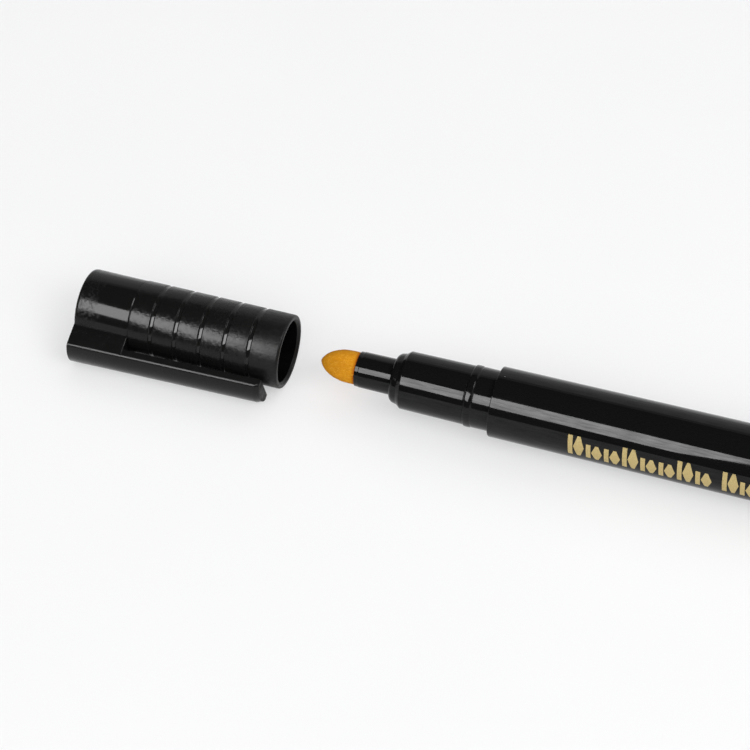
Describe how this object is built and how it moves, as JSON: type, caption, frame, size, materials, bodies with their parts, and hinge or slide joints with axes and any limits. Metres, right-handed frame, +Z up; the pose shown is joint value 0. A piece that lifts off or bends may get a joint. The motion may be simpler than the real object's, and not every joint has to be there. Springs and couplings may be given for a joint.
{
  "type": "counterfeit detector pen",
  "caption": "Felt-tip detector pen lying with its ringed cap and clip pulled off in front of its amber bullet nib; the cap slides back on to the shoulder.",
  "frame": {"origin": "on the table, under the middle of the box round the pen and its pulled-off cap", "axes": "+X along the pen from the cap's closed end to the rear plug, +Z up, -Y towards the side the clip lies on"},
  "size_m": [0.1686, 0.0152, 0.0118],
  "materials": {
    "gloss_black": "polished black moulded polypropylene",
    "satin_black": "fine spark-eroded satin black polypropylene, bright only in the grip rings",
    "amber_felt": "compressed fibre soaked with amber ink",
    "inked_fibre": "bonded fibre rod soaked with amber ink",
    "clear_film": "thin clear film",
    "natural_seal": "unpigmented polyethylene"
  },
  "bodies": {
    "pen": {"barrel": "gloss_black", "rear_plug": "gloss_black", "front_section": "gloss_black", "nib": "amber_felt", "ink_reservoir": "inked_fibre", "reservoir_sleeve": "clear_film"},
    "cap": {"cap_shell": "satin_black", "inner_cap": "natural_seal"},
    "clip": {"cap_clip": "satin_black"}
  },
  "joints": [
    {"name": "cap_slide", "type": "slide", "parent": "pen", "child": "cap", "axis": [1, 0, 0], "range_m": [0, 0.03326]},
    {"name": "clip_flex", "type": "hinge", "parent": "cap", "child": "clip", "pos_m": [-0.07508, -0.0055, 0.00312], "axis": [0, 0.3603, -0.9328], "range_deg": [0, 5], "stiffness_Nm_per_rad": 0.2}
  ]
}
